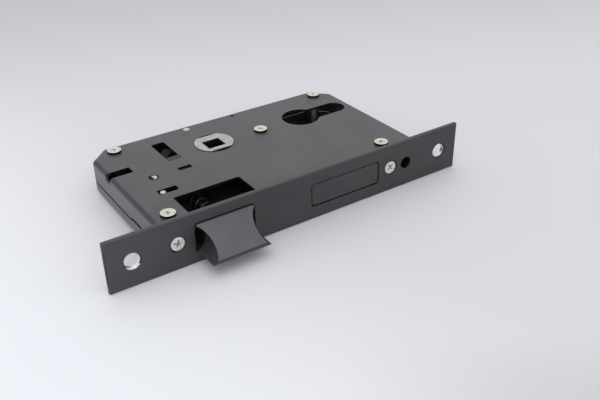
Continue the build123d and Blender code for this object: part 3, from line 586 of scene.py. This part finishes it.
def placeCamera():
    yaw, pitch, roll = (math.radians(viewer[k]) for k in ("yaw", "pitch", "roll"))
    ahead = np.array([math.sin(yaw) * math.cos(pitch), math.cos(yaw) * math.cos(pitch), -math.sin(pitch)])
    right = np.array([math.cos(yaw), -math.sin(yaw), 0.0])
    up = np.cross(right, ahead)
    turnedRight = math.cos(roll) * right + math.sin(roll) * up
    turnedUp = -math.sin(roll) * right + math.cos(roll) * up
    lens = bpy.data.cameras.new("photoCamera")
    lens.sensor_fit = "HORIZONTAL"
    lens.sensor_width = viewer["sensor"]
    lens.lens = viewer["lens"]
    lens.clip_start = viewer["nearest"] * mm
    camera = bpy.data.objects.new("photoCamera", lens)
    scene.collection.objects.link(camera)
    turn = Matrix(np.stack([turnedRight, turnedUp, -ahead], axis=1).tolist()).to_4x4()
    camera.matrix_world = Matrix.Translation([v * mm for v in viewer["place"]]) @ turn
    scene.camera = camera


placeCamera()

# table: it leans a little, since the lock rests on the forend's lower edge and on the case's rear edge, both given in
# millimetres; painted light at the front left, painted shade behind, a painted shadow at the front right, where heading
# is the way the camera looks
table = {"frontY": 1.4, "frontZ": -11.0, "rearY": 74.5, "rearZ": -7.5, "half": 3.0, "cells": 24,
         "dim": rgb(0.56, 0.556, 0.565), "pale": rgb(0.885, 0.895, 0.930), "paleShow": 0.47,
         "leftSkew": 0.3, "left": (-0.13, 0.02), "leftLightShow": 0.49,
         "rearSkew": 0.35, "rear": (0.10, 0.36), "rearShow": 0.48,
         "heading": (0.555, 0.832), "front": (-0.10, -0.06), "right": (0.0, 0.08), "frontShow": 0.30,
         "broad": (9.0, 2.0), "broadShow": 0.06,
         "grain": (900.0, 3.0), "grainStrength": 0.15, "grainDepth": 0.00004, "rough": 0.55, "grainGloss": 0.1}


def makePale():
    made, w, place = startFinish("tablePale")
    grain = w.noise(place, *table["grain"])
    broad = w.noise(place, *table["broad"])
    x, y = w.parts(place)[:2]
    a, b = table["heading"]
    left = (x + y * table["leftSkew"]).fall(*table["left"])
    rear = (y + x * table["rearSkew"]).step(*table["rear"])
    front = (x * a + y * b).fall(*table["front"]) * (x * b - y * a).step(*table["right"])
    # painted light and shade on the floor
    shade = table["paleShow"] + left * table["leftLightShow"] - rear * table["rearShow"] - front * table["frontShow"]
    colour = w.blend(shade + broad.sway(table["broadShow"]), table["dim"], table["pale"])
    relief = w.relief(table["grainStrength"], table["grainDepth"], grain)
    endFinish(w, Base_Color=colour, Roughness=table["rough"] + grain.sway(table["grainGloss"]), Normal=relief)
    return made


# a flat grid: height grows with y by the slope between the two edges that the lock rests on
def makeTable():
    n = table["cells"] + 1
    steps = np.linspace(-table["half"], table["half"], n)
    x, y = np.meshgrid(steps, steps, indexing="ij")
    slope = (table["rearZ"] - table["frontZ"]) / (table["rearY"] - table["frontY"])
    z = table["frontZ"] * mm + slope * (y - table["frontY"] * mm)
    i, j = np.meshgrid(np.arange(n - 1), np.arange(n - 1), indexing="ij")
    corner = (i * n + j).ravel()
    quads = np.stack([corner, corner + n, corner + n + 1, corner + 1], axis=1)
    mesh = bpy.data.meshes.new("table")
    mesh.from_pydata(np.stack([x, y, z], axis=-1).reshape(-1, 3).tolist(), [], quads.tolist())
    mesh.materials.append(makePale())
    floor = bpy.data.objects.new("table", mesh)
    scene.collection.objects.link(floor)


makeTable()

# light: a soft lamp and a pale room, brightest above and towards the front left
daylight = {"place": (-0.32, -0.22, 1.00), "aim": (0.0, 0.03, 0.0), "size": 0.9, "watts": 2.2,
            "tint": (0.97, 0.985, 1.0), "bright": rgb(0.95, 0.96, 0.985), "dim": rgb(0.80, 0.80, 0.82),
            "window": (-0.38, -0.25, 0.89), "windowMask": (-0.6, 0.9), "strength": 0.91}


def makeLight():
    lamp = bpy.data.lights.new("daylight", "AREA")
    lamp.shape = "DISK"
    lamp.size = daylight["size"]
    lamp.energy = daylight["watts"]
    lamp.color = daylight["tint"]
    shown = bpy.data.objects.new("daylight", lamp)
    scene.collection.objects.link(shown)
    aim = Vector(daylight["aim"]) - Vector(daylight["place"])
    turn = aim.to_track_quat("-Z", "Y").to_matrix().to_4x4()
    shown.matrix_world = Matrix.Translation(daylight["place"]) @ turn
    room = bpy.data.worlds.new("room")
    scene.world = room
    room.use_nodes = True
    room.node_tree.nodes.clear()
    w = Wire(room.node_tree)
    toWindow = w.agree(w.node("ShaderNodeTexCoord", out="Generated"), daylight["window"])
    sky = w.blend(toWindow.step(*daylight["windowMask"]), daylight["dim"], daylight["bright"])
    shine = w.node("ShaderNodeBackground", {}, {"Color": sky, "Strength": daylight["strength"]})
    w.node("ShaderNodeOutputWorld", {}, {"Surface": shine})


makeLight()
scene.view_settings.view_transform = "Standard"
print("camera, table and light placed")
